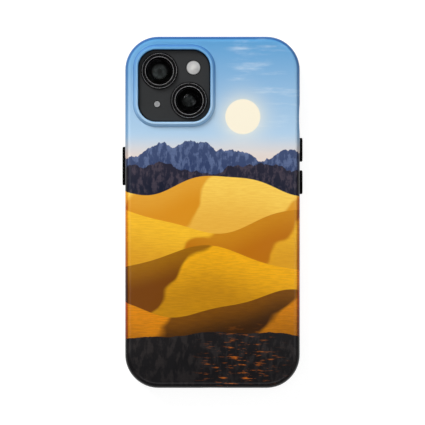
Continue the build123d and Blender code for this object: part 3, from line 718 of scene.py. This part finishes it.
def middle_of(node):
    """Middle of a node's box."""
    low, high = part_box(node)
    return (low + high) / 2


def radius_of(node):
    """Radius of a round, upright node."""
    low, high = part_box(node)
    return (high.x - low.x) / 2


class CASEDPHONE_OT_print_shell(bpy.types.Operator):
    """Finish the hard shell with its all-over print"""

    bl_idname = "cased_phone.print_shell"
    bl_label = "Print the shell"

    def execute(self, context):
        dress(printed_shell(context.scene.print_colours), "case_shell")
        return {"FINISHED"}


class CASEDPHONE_OT_finish_liner(bpy.types.Operator):
    """Finish the soft liner and the key pads"""

    bl_idname = "cased_phone.finish_liner"
    bl_label = "Finish the liner and pads"

    def execute(self, context):
        pads = ("side_pad", "volume_up_pad", "volume_down_pad")
        dress(soft_liner(context.scene.finish_colours), "case_liner", *pads)
        return {"FINISHED"}


class CASEDPHONE_OT_finish_phone(bpy.types.Operator):
    """Finish the phone's metalwork, back glass and battery"""

    bl_idname = "cased_phone.finish_phone"
    bl_label = "Finish the phone's body"

    def execute(self, context):
        colours, sizes = context.scene.finish_colours, context.scene.fine_sizes
        buttons = ("side_button", "volume_up_button", "volume_down_button", "ring_switch")
        dress(blasted_metal("blasted_frame", colours.frame, roughness=0.42), "phone_frame")
        dress(blasted_metal("blasted_buttons", colours.frame, roughness=0.34), *buttons)
        widths = {"flash_window": sizes.seal_width, "rear_microphone": sizes.seal_width}
        # The lens trims get wider seals: a black seal with painted shadow round it on the plateau
        widths |= {f"lens_ring_{lens}": sizes.lens_seal_and_shadow for lens in LENSES}
        seals = [(middle_of(inset), radius_of(inset), width) for inset, width in widths.items()]
        dress(frosted_glass(colours, seals), "back_glass")
        dress(moulded("battery_wrap", colours.battery, grain_size=0.8 * MM, roughness=0.5), "battery")
        return {"FINISHED"}


class CASEDPHONE_OT_turn_lenses(bpy.types.Operator):
    """Turn the lens trims, barrels and front elements of the rear cameras"""

    bl_idname = "cased_phone.turn_lenses"
    bl_label = "Turn the rear cameras"

    COVER_PLAY = 0.05 * MM  # between a cover glass and its trim
    COVER_LEDGE = 0.7 * MM  # width of the ledge that carries a cover glass
    LAND_SINK = 1.3  # depth of a trim's land, in radii of its inner bead
    BEAD_STEPS = 10
    CLEARANCE = 0.02 * MM  # between a barrel and the solids round it
    DOME_STEPS = 12
    RIM_WALL = 0.7  # upright part of a front element's rim
    COVER_INDEX = 1.16  # refraction of a coated cover, which mirrors little

    def trim_profile(self, ring, cover, sizes):
        """Ring with a polished bead at each edge and a sunk land between them."""
        base, top = ring[0].z, ring[1].z
        outer = (ring[1].x - ring[0].x) / 2
        inner = (cover[1].x - cover[0].x) / 2 + self.COVER_PLAY
        ledge = inner - self.COVER_LEDGE
        bead, rim = sizes.bead_radius, sizes.outer_bead
        land = top - self.LAND_SINK * bead
        return [
            Point(outer, base),
            *arc(Point(outer - rim, top - rim), rim, 0, 180, self.BEAD_STEPS),
            Point(outer - 2 * rim, land),
            Point(inner + 2 * bead, land),
            *arc(Point(inner + bead, top - bead), bead, 0, 180, self.BEAD_STEPS),
            Point(inner, cover[0].z),
            Point(ledge, cover[0].z),
            Point(ledge, base),
            Point(outer, base),
        ]

    def barrel_profile(self, element, module, sizes):
        """Stepped baffles down the inside of the barrel."""
        mouth, throat = sizes.barrel_mouth, (element[1].x - element[0].x) / 2 + self.CLEARANCE
        high, low = module[1].z - self.CLEARANCE, element[0].z + self.CLEARANCE
        drop, draw = (high - low) / sizes.barrel_steps, (mouth - throat) / sizes.barrel_steps
        profile = [Point(mouth, high)]
        for step in range(sizes.barrel_steps):
            radius = mouth - (step + 1) * draw
            profile += [Point(radius, high - step * drop), Point(radius, high - (step + 1) * drop)]
        return [*profile, profile[0]]

    def element_profile(self, element, sizes):
        """Domed front element with a ground rim."""
        base, crown = element[0].z, element[1].z
        radius = (element[1].x - element[0].x) / 2
        rim = sizes.element_rim
        chord, rise = radius - rim, crown - base - rim
        ball = (chord * chord + rise * rise) / (2 * rise)
        edge = math.degrees(math.asin(chord / ball))
        dome = arc(Point(0, crown - ball), ball, 90, 90 - edge, self.DOME_STEPS)
        return [*dome, Point(radius, base + self.RIM_WALL * rim), Point(radius, base), Point(0, base)]

    def execute(self, context):
        colours, sizes = context.scene.finish_colours, context.scene.fine_sizes
        cover_glass = clear_glass("lens_cover_glass", colours, self.COVER_INDEX)
        module_black = moulded("module_black", colours.barrel, grain_size=0.15 * MM, roughness=0.6)
        land_finish = {"pitch": 0.12 * MM, "depth": 4 * MICRON, "roughness": 0.5, "gloss": 0.15}
        edge_finish = {"pitch": 0.05 * MM, "depth": MICRON, "metallic": 1.0, "roughness": 0.3}
        barrel_finish = {"pitch": 0.1 * MM, "depth": 5 * MICRON, "roughness": 0.75, "gloss": 0.05}
        for lens, look in LENSES.items():
            centre = middle_of(f"lens_ring_{lens}")
            ring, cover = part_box(f"lens_ring_{lens}"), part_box(f"lens_cover_{lens}")
            element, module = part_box(f"lens_element_{lens}"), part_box(f"camera_module_{lens}")

            trim = turn(f"lens_trim_{lens}", centre, self.trim_profile(ring, cover, sizes))
            land = turned(f"trim_land_{lens}", colours.trim_land, centre, **land_finish)
            edge = turned(f"trim_edge_{lens}", colours.trim_edge, centre, **edge_finish)
            finish_piece(trim, (land, edge), (f"lens_ring_{lens}",))
            bead_base = ring[1].z - sizes.bead_radius
            for face in trim.data.polygons:
                face.material_index = int(face.center.z > bead_base)

            barrel = turn(f"lens_barrel_{lens}", centre, self.barrel_profile(element, module, sizes))
            black = turned(f"barrel_black_{lens}", colours.barrel, centre, **barrel_finish)
            finish_piece(barrel, (black,))

            dome = turn(f"front_element_{lens}", centre, self.element_profile(element, sizes))
            radius = (element[1].x - element[0].x) / 2
            glass = coated_element(f"coated_element_{lens}", colours, centre, radius, look)
            finish_piece(dome, (glass,), (f"lens_element_{lens}",))
            dress(cover_glass, f"lens_cover_{lens}")
            dress(module_black, f"camera_module_{lens}")
        return {"FINISHED"}


class CASEDPHONE_OT_turn_flash(bpy.types.Operator):
    """Turn the grooved window of the flash"""

    bl_idname = "cased_phone.turn_flash"
    bl_label = "Turn the flash"

    EDGE_ROUND = 0.12 * MM
    SLOPE_WIDTH = 0.94  # share of the grooves' pitch that a groove's slope takes
    RIDGE_SINK = 0.02 * MM  # ridges between the grooves, below the rim
    DOME_ANGLES = (25, 45, 65, 90)  # degrees

    def execute(self, context):
        colours, sizes = context.scene.finish_colours, context.scene.fine_sizes
        low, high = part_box("flash_window")
        centre, radius = (low + high) / 2, (high.x - low.x) / 2
        top, edge, depth = high.z, self.EDGE_ROUND, sizes.flash_depth
        inner = radius - sizes.flash_rim
        pitch = inner / (sizes.flash_grooves + 1)
        profile = [Point(0, low.z), Point(radius, low.z)]
        profile += arc(Point(radius - edge, top - edge), edge, 0, 90, steps=5)
        for groove in range(sizes.flash_grooves):
            outside = inner - groove * pitch
            profile += [Point(outside, top), Point(outside, top - depth)]
            profile += [Point(outside - self.SLOPE_WIDTH * pitch, top - self.RIDGE_SINK)]
        profile += [Point(pitch, top - depth)]
        for angle in map(math.radians, self.DOME_ANGLES):
            profile += [Point(pitch * math.cos(angle), top - depth + depth * math.sin(angle))]
        window = turn("flash_lens", centre, profile)
        finish_piece(window, (flash_diffuser(colours, centre, radius),), ("flash_window",))
        return {"FINISHED"}


class CASEDPHONE_OT_weave_microphone(bpy.types.Operator):
    """Turn the rear microphone's rim and cut its wire mesh"""

    bl_idname = "cased_phone.weave_microphone"
    bl_label = "Make the microphone"

    EDGE_ROUND = 0.08 * MM
    FLOOR_DEPTH = 3  # floor under the mesh, in depths of the mesh
    MESH_TURN = math.radians(45)

    def execute(self, context):
        colours, sizes = context.scene.finish_colours, context.scene.fine_sizes
        low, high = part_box("rear_microphone")
        centre, radius, top = (low + high) / 2, (high.x - low.x) / 2, high.z
        inner, edge = radius - sizes.mesh_rim, self.EDGE_ROUND
        floor = top - self.FLOOR_DEPTH * sizes.mesh_sink
        profile = [Point(0, low.z), Point(radius, low.z)]
        profile += arc(Point(radius - edge, top - edge), edge, 0, 90, steps=4)
        profile += arc(Point(inner + edge, top - edge), edge, 90, 180, steps=4)
        profile += [Point(inner, floor), Point(0, floor)]
        pale_finish = {"pitch": 0.05 * MM, "depth": MICRON, "metallic": 0.2, "roughness": 0.4}
        rim = turn("microphone_rim", centre, profile)
        pale = turned("microphone_rim", colours.mesh, centre, **pale_finish)
        finish_piece(rim, (pale,), ("rear_microphone",))

        start_piece()
        middle = Vector((centre.x, centre.y, top - sizes.mesh_sink))
        bpy.ops.mesh.primitive_grid_add(
            x_subdivisions=sizes.mesh_wires,
            y_subdivisions=sizes.mesh_wires,
            size=2 * radius,
            location=middle,
            rotation=(0, 0, self.MESH_TURN),
        )
        grille = name_piece("microphone_grille")
        bpy.ops.object.mode_set(mode="EDIT")
        select_faces(grille, lambda face: (face.center - middle).length > inner)
        bpy.ops.mesh.delete(type="FACE")
        bpy.ops.mesh.select_all(action="SELECT")
        bpy.ops.mesh.subdivide(number_cuts=1)
        bpy.ops.object.mode_set(mode="OBJECT")
        apply_modifier("WIREFRAME", thickness=sizes.mesh_wire, use_even_offset=False)
        bpy.ops.object.shade_smooth_by_angle(angle=CREASE)
        wire = turned("microphone_wire", colours.mesh, centre, **pale_finish)
        finish_piece(grille, (wire,))
        return {"FINISHED"}


class CASEDPHONE_OT_set_contacts(bpy.types.Operator):
    """Finish the charging port, speakers and earpiece, and set the port's plated contacts"""

    bl_idname = "cased_phone.set_contacts"
    bl_label = "Make the port's contacts"

    CONTACT_INSET = 0.5 * MM  # contacts behind the tongue's front
    CONTACT_ROUND = 0.4  # rounding of a contact's edges, in its heights above the tongue

    def execute(self, context):
        colours, sizes = context.scene.finish_colours, context.scene.fine_sizes
        low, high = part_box("port_tongue")
        middle = (low + high) / 2
        row = (sizes.contacts - 1) * sizes.contact_pitch
        front = low.y + self.CONTACT_INSET
        place = (middle.x - row / 2, front + sizes.contact_length / 2, middle.z)
        start_piece()
        bpy.ops.mesh.primitive_cube_add(size=1, location=place)
        bpy.ops.object.mode_set(mode="EDIT")
        size = (sizes.contact_width, sizes.contact_length, 2 * sizes.contact_proud)
        bpy.ops.transform.resize(value=size)
        bpy.ops.transform.translate(value=(0, 0, (high.z - low.z) / 2))
        bpy.ops.mesh.bevel(offset=self.CONTACT_ROUND * sizes.contact_proud, segments=2)
        bpy.ops.object.mode_set(mode="OBJECT")
        apply_modifier("MIRROR", use_axis=(False, False, True))
        apply_modifier(
            "ARRAY",
            count=sizes.contacts,
            use_relative_offset=False,
            use_constant_offset=True,
            constant_offset_displace=(sizes.contact_pitch, 0, 0),
        )
        bpy.ops.object.shade_smooth_by_angle(angle=CREASE)
        contacts = name_piece("port_contacts")
        finish_piece(contacts, (drawn_steel("plated_contacts", colours.contact),))
        dress(drawn_steel("port_steel", colours.steel), "port_sleeve")
        dress(moulded("port_tongue", colours.tongue, grain_size=0.2 * MM, roughness=0.45), "port_tongue")
        dress(woven_mesh("speaker_mesh", colours.grille, pitch=0.22 * MM), "speaker_meshes")
        dress(woven_mesh("earpiece_mesh", colours.grille, pitch=0.16 * MM), "earpiece_mesh")
        return {"FINISHED"}


class CASEDPHONE_OT_frame_screen(bpy.types.Operator):
    """Finish the screen, with its black border and turned front camera"""

    bl_idname = "cased_phone.frame_screen"
    bl_label = "Make the screen"

    GAP = 0.04 * MM  # between the border or the front camera's face and what is round it
    CAMERA_RIM = 0.3 * MM
    # Steps of the front camera's funnel: radius as a share of its mouth, and depth in rims
    FUNNEL = ((0.55, 1.6), (0.5, 1.2), (0.3, 1.05), (0, 1))
    SCREEN_INDEX = 1.5  # refraction of the screen's glass

    def make_border(self, colours, sizes):
        """Black border behind the edge of the screen's glass."""
        glass, panel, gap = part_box("display_glass"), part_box("display_panel"), self.GAP
        extent = glass[1] - glass[0]
        place = (0, middle_of("display_glass").y, glass[1].z - gap / 2)
        start_piece()
        bpy.ops.mesh.primitive_plane_add(size=1, location=place)
        border = name_piece("screen_border")
        bpy.ops.object.mode_set(mode="EDIT")
        bpy.ops.transform.resize(value=(extent.x - 2 * gap, extent.y - 2 * gap, 1))
        bpy.ops.mesh.bevel(affect="VERTICES", offset=sizes.screen_corner, segments=16, profile=0.5)
        bpy.ops.mesh.inset(thickness=panel[0].x - glass[0].x - 2 * gap)
        bpy.ops.mesh.delete(type="FACE")
        bpy.ops.object.mode_set(mode="OBJECT")
        apply_modifier("SOLIDIFY", thickness=sizes.border_thickness, offset=-1.0)
        apply_modifier("BEVEL", width=gap / 2, segments=2, limit_method="ANGLE")
        paint = moulded("border_black", colours.barrel, grain_size=0.3 * MM, roughness=0.4, gloss=0.05)
        finish_piece(border, (paint,))

    def turn_camera(self, colours):
        """Front camera: a rounded rim, a funnel and its small lens."""
        low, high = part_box("front_camera")
        centre, radius = (low + high) / 2, (high.x - low.x) / 2
        rim, face = self.CAMERA_RIM, low.z + self.GAP
        profile = [Point(0, high.z), Point(radius, high.z)]
        profile += arc(Point(radius - rim / 2, face + rim / 2), rim / 2, 0, -180, steps=8)
        profile += [Point(share * (radius - rim), face + depth * rim) for share, depth in self.FUNNEL]
        lens = turn("front_camera_lens", centre, profile)
        glass = coated_element("front_camera_lens", colours, centre, radius, FRONT_LENS)
        finish_piece(lens, (glass,), ("front_camera",))

    def execute(self, context):
        colours = context.scene.finish_colours
        self.make_border(colours, context.scene.fine_sizes)
        self.turn_camera(colours)
        dress(clear_glass("screen_glass", colours, self.SCREEN_INDEX), "display_glass")
        dress(display_panel(colours), "display_panel")
        return {"FINISHED"}


class Softbox(NamedTuple):
    """A rectangular lamp that faces the object: its name, place, width and depth in metres, the setting
    that holds its power, and whether the object's gloss mirrors it."""

    name: str
    place: tuple
    width: float
    depth: float
    power: str
    mirrored: bool


SOFTBOXES = (
    Softbox("key", (-0.62, 0.93, 0.66), 0.55, 0.55, "key", False),
    Softbox("fill", (0.95, -0.35, 0.85), 0.9, 0.9, "fill", False),
    Softbox("strip_left", (-0.575, 0, 1.6), 0.42, 0.9, "strip", True),
    Softbox("strip_right", (0.575, 0, 1.6), 0.42, 0.9, "strip", True),
    Softbox("strip_top", (0, 0.69, 1.6), 0.9, 0.42, "strip", True),
    Softbox("strip_bottom", (0, -0.69, 1.6), 0.9, 0.42, "strip", True),
)


class CASEDPHONE_OT_set_stage(bpy.types.Operator):
    """Set the camera, the studio lamps, the walls and the pale floor"""

    bl_idname = "cased_phone.set_stage"
    bl_label = "Set the stage"

    SENSOR_WIDTH = 36  # millimetres
    CLIP_START, CLIP_END = 0.01, 100  # metres
    FLOOR_SIZE = 8
    FLOOR_NEAR, FLOOR_FAR = 0.2, 1.4  # distances between which the floor whitens
    # Height in the studio, as the upward part of the direction looked in
    BACKDROP_TOP = 0.14
    WALL_FOOT = 0.24
    WALL_TOP = 0.5
    CEILING_EDGE = 0.85

    def aim_camera(self, stage):
        """Camera straight above the object's back."""
        start_piece()
        bpy.ops.object.camera_add(location=(0, -stage.camera_back, stage.camera_height))
        camera = bpy.context.object
        camera.data.sensor_width = self.SENSOR_WIDTH
        camera.data.lens = stage.focal_length
        camera.data.clip_start, camera.data.clip_end = self.CLIP_START, self.CLIP_END
        bpy.context.scene.camera = camera

    def hang_lamp(self, softbox, power):
        """One softbox, turned to the object."""
        start_piece()
        turned_to = (-Vector(softbox.place)).to_track_quat("-Z", "Y").to_euler()
        bpy.ops.object.light_add(type="AREA", location=softbox.place, rotation=turned_to)
        lamp = bpy.context.object
        lamp.name = lamp.data.name = softbox.name
        lamp.data.shape = "RECTANGLE"
        lamp.data.size, lamp.data.size_y = softbox.width, softbox.depth
        lamp.data.energy = power
        lamp.visible_glossy = softbox.mirrored

    def lay_floor(self, stage):
        """Pale matt floor with the object's shadow, whiter away from the lamps.

        It shows as white in view, in gloss and through glass.
        """
        start_piece()
        bpy.ops.mesh.primitive_plane_add(size=self.FLOOR_SIZE, location=(0, 0, 0))
        floor = name_piece("studio_floor")
        sheet = Sheet("studio_floor")
        path = sheet.node("ShaderNodeLightPath", {}).outputs
        seen = path["Is Camera Ray"]
        for kind in ("Glossy", "Transmission"):
            seen = sheet.math("MAXIMUM", seen, path[f"Is {kind} Ray"])
        out = sheet.reach((0, 0, 0), 1.0)
        glow = sheet.span(out, self.FLOOR_NEAR, self.FLOOR_FAR, stage.floor_glow, 1.0)
        sheet.surface(
            Base_Color=stage.floor_colour,
            Roughness=0.9,
            Specular_IOR_Level=0.0,
            Emission_Color=WHITE,
            Emission_Strength=sheet.math("MULTIPLY", seen, glow),
        )
        floor.data.materials.append(sheet.material)

    def raise_walls(self, stage):
        """Studio round the floor: a white backdrop low down, grey walls and a dim ceiling."""
        world = bpy.data.worlds.new("studio")
        bpy.context.scene.world = world
        world.use_nodes = True
        tree = world.node_tree
        direction = tree.nodes.new("ShaderNodeTexCoord").outputs["Object"]
        split = tree.nodes.new("ShaderNodeSeparateXYZ")
        shade = tree.nodes.new("ShaderNodeValToRGB")
        steps = shade.color_ramp.elements
        levels = {
            self.BACKDROP_TOP: 1,
            self.WALL_FOOT: stage.walls,
            self.WALL_TOP: stage.walls,
            self.CEILING_EDGE: stage.ceiling,
        }
        for height, level in levels.items():
            steps.new(height).color = (level, level, level, 1)
        steps.remove(steps[0])
        steps.remove(steps[-1])
        tree.links.new(direction, split.inputs[0])
        tree.links.new(split.outputs["Z"], shade.inputs[0])
        tree.links.new(shade.outputs["Color"], tree.nodes["Background"].inputs["Color"])

    def execute(self, context):
        stage = context.scene.stage_sizes
        context.scene.view_settings.view_transform = "Standard"
        self.aim_camera(stage)
        for softbox in SOFTBOXES:
            self.hang_lamp(softbox, getattr(stage, softbox.power))
        self.lay_floor(stage)
        self.raise_walls(stage)
        return {"FINISHED"}


OPERATORS = (
    CASEDPHONE_OT_set_stage,
    CASEDPHONE_OT_print_shell,
    CASEDPHONE_OT_finish_liner,
    CASEDPHONE_OT_finish_phone,
    CASEDPHONE_OT_turn_lenses,
    CASEDPHONE_OT_turn_flash,
    CASEDPHONE_OT_weave_microphone,
    CASEDPHONE_OT_set_contacts,
    CASEDPHONE_OT_frame_screen,
)
SETTINGS = {
    "print_colours": PrintColours,
    "finish_colours": FinishColours,
    "fine_sizes": FineSizes,
    "stage_sizes": StageSizes,
}


class CASEDPHONE_PT_sidebar(bpy.types.Panel):
    """Steps and settings of the cased phone"""

    bl_idname = "CASEDPHONE_PT_sidebar"
    bl_label = "Cased Phone"
    bl_space_type = "VIEW_3D"
    bl_region_type = "UI"
    bl_category = "Cased Phone"

    def draw(self, context):
        for operator in OPERATORS:
            self.layout.operator(operator.bl_idname)
        for name, group in SETTINGS.items():
            box = self.layout.box()
            for setting in group.__annotations__:
                box.prop(getattr(context.scene, name), setting)


CLASSES = (*SETTINGS.values(), *OPERATORS, CASEDPHONE_PT_sidebar)


def register():
    """Adds the classes to Blender and the settings to its scenes."""
    for kind in CLASSES:
        bpy.utils.register_class(kind)
    for name, group in SETTINGS.items():
        setattr(bpy.types.Scene, name, PointerProperty(type=group))


def unregister():
    """Takes away what register adds."""
    for name in SETTINGS:
        delattr(bpy.types.Scene, name)
    for kind in reversed(CLASSES):
        bpy.utils.unregister_class(kind)


def main():
    """Makes the whole scene."""
    register()
    bpy.ops.cased_phone.set_stage()
    bpy.ops.cased_phone.print_shell()
    bpy.ops.cased_phone.finish_liner()
    bpy.ops.cased_phone.finish_phone()
    bpy.ops.cased_phone.turn_lenses()
    bpy.ops.cased_phone.turn_flash()
    bpy.ops.cased_phone.weave_microphone()
    bpy.ops.cased_phone.set_contacts()
    bpy.ops.cased_phone.frame_screen()


if __name__ == "__main__":
    main()
